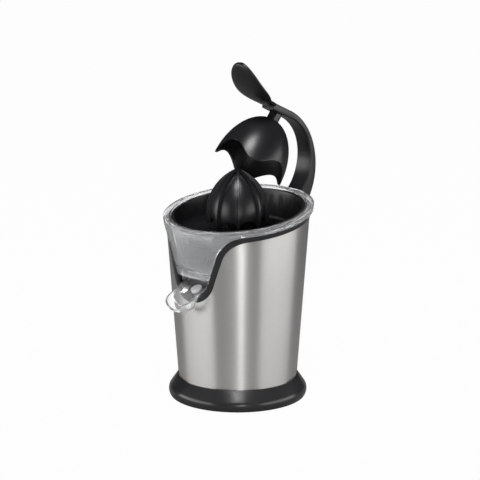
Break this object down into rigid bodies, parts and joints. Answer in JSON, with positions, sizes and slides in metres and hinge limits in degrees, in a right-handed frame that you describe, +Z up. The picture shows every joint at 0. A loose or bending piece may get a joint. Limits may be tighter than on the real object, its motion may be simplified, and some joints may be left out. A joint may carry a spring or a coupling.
{
  "type": "electric citrus juicer",
  "caption": "Lever-press citrus juicer: steel motor housing, clear collector with tipping spout, black strainer, ribbed cone and a hinged arm with press dome.",
  "frame": {"origin": "on the floor under the middle of the base ring, on the spindle's axis", "axes": "+Z up along the spindle, -Y towards the pour spout, +Y towards the lever's hinge, +X to the right seen from the spout"},
  "size_m": [0.1728, 0.2295, 0.3897],
  "materials": {
    "black_gloss": "polished moulding",
    "black_satin": "satin moulding",
    "foot_rubber": "matt",
    "brushed_steel": "brushed around the body",
    "inner_plastic": "satin moulding",
    "clear_plastic": "clear moulding",
    "seal_silicone": "matt",
    "fastener_steel": "bright",
    "bush_brass": "machined",
    "gear_plastic": "moulded",
    "case_plastic": "moulded",
    "cast_aluminium": "die-cast",
    "core_steel": "varnished sheets",
    "coil_copper": "enamelled wire",
    "button_plastic": "moulded"
  },
  "bodies": {
    "housing": {"base_ring": "black_satin", "base_plate": "black_satin", "rubber_feet": "foot_rubber", "base_screws": "fastener_steel", "cord_gland": "foot_rubber", "steel_shell": "brushed_steel", "shell_trim": "black_satin", "inner_housing": "inner_plastic", "juice_collector": "clear_plastic", "strainer": "black_gloss", "spindle_bushes": "bush_brass", "idler_axle": "fastener_steel", "gearbox_case": "case_plastic", "gearbox_cover": "case_plastic", "gearbox_screws": "fastener_steel", "motor_top_bracket": "cast_aluminium", "motor_bottom_bracket": "cast_aluminium", "motor_bushes": "bush_brass", "motor_bolts": "fastener_steel", "stator_core": "core_steel", "field_coils": "coil_copper", "micro_switch": "black_satin", "hinge_bracket": "black_satin", "hinge_pin": "fastener_steel", "hinge_spring": "fastener_steel", "bracket_screws": "fastener_steel"},
    "gear": {"output_gear": "gear_plastic", "gear_clip": "fastener_steel", "return_spring": "fastener_steel"},
    "spindle": {"drive_shaft": "fastener_steel", "juicing_cone": "black_gloss"},
    "idler": {"idler_gear": "gear_plastic"},
    "rotor": {"rotor_core": "core_steel", "motor_shaft": "fastener_steel", "motor_pinion": "bush_brass", "cooling_fan": "case_plastic"},
    "button": {"switch_button": "button_plastic"},
    "lever": {"lever_arm": "black_gloss", "handle_pad": "black_gloss", "press_dome": "black_gloss", "dome_screw": "fastener_steel"},
    "spout": {"pour_spout": "clear_plastic", "spout_seal": "seal_silicone"}
  },
  "joints": [
    {"name": "gear_spin", "type": "hinge", "parent": "housing", "child": "gear", "pos_m": [0, 0, 0.122], "axis": [0, 0, 1], "continuous": true},
    {"name": "spindle_press", "type": "slide", "parent": "gear", "child": "spindle", "axis": [0, 0, -1], "range_m": [0, 0.002], "stiffness_N_per_m": 1500, "springref_m": -0.003, "deforming": ["return_spring"]},
    {"name": "idler_spin", "type": "hinge", "parent": "housing", "child": "idler", "pos_m": [0.03, 0.0225, 0.1075], "axis": [0, 0, 1], "continuous": true},
    {"name": "rotor_spin", "type": "hinge", "parent": "housing", "child": "rotor", "pos_m": [0, 0.0225, 0.07], "axis": [0, 0, 1], "continuous": true},
    {"name": "button_press", "type": "slide", "parent": "housing", "child": "button", "axis": [0, 0, -1], "range_m": [0, 0.002]},
    {"name": "lever_swing", "type": "hinge", "parent": "housing", "child": "lever", "pos_m": [0, 0.1, 0.2098], "axis": [1, 0, 0], "range_deg": [0, 34], "stiffness_Nm_per_rad": 0.3, "springref_deg": -51.57},
    {"name": "spout_tip", "type": "hinge", "parent": "housing", "child": "spout", "pos_m": [0, -0.0635, 0.1483], "axis": [-1, 0, 0], "range_deg": [0, 34]}
  ],
  "couplings": [
    {"joint": "idler_spin", "follows": "gear_spin", "ratio": -4},
    {"joint": "rotor_spin", "follows": "gear_spin", "ratio": 16},
    {"joint": "button_press", "follows": "spindle_press", "ratio": 1}
  ]
}
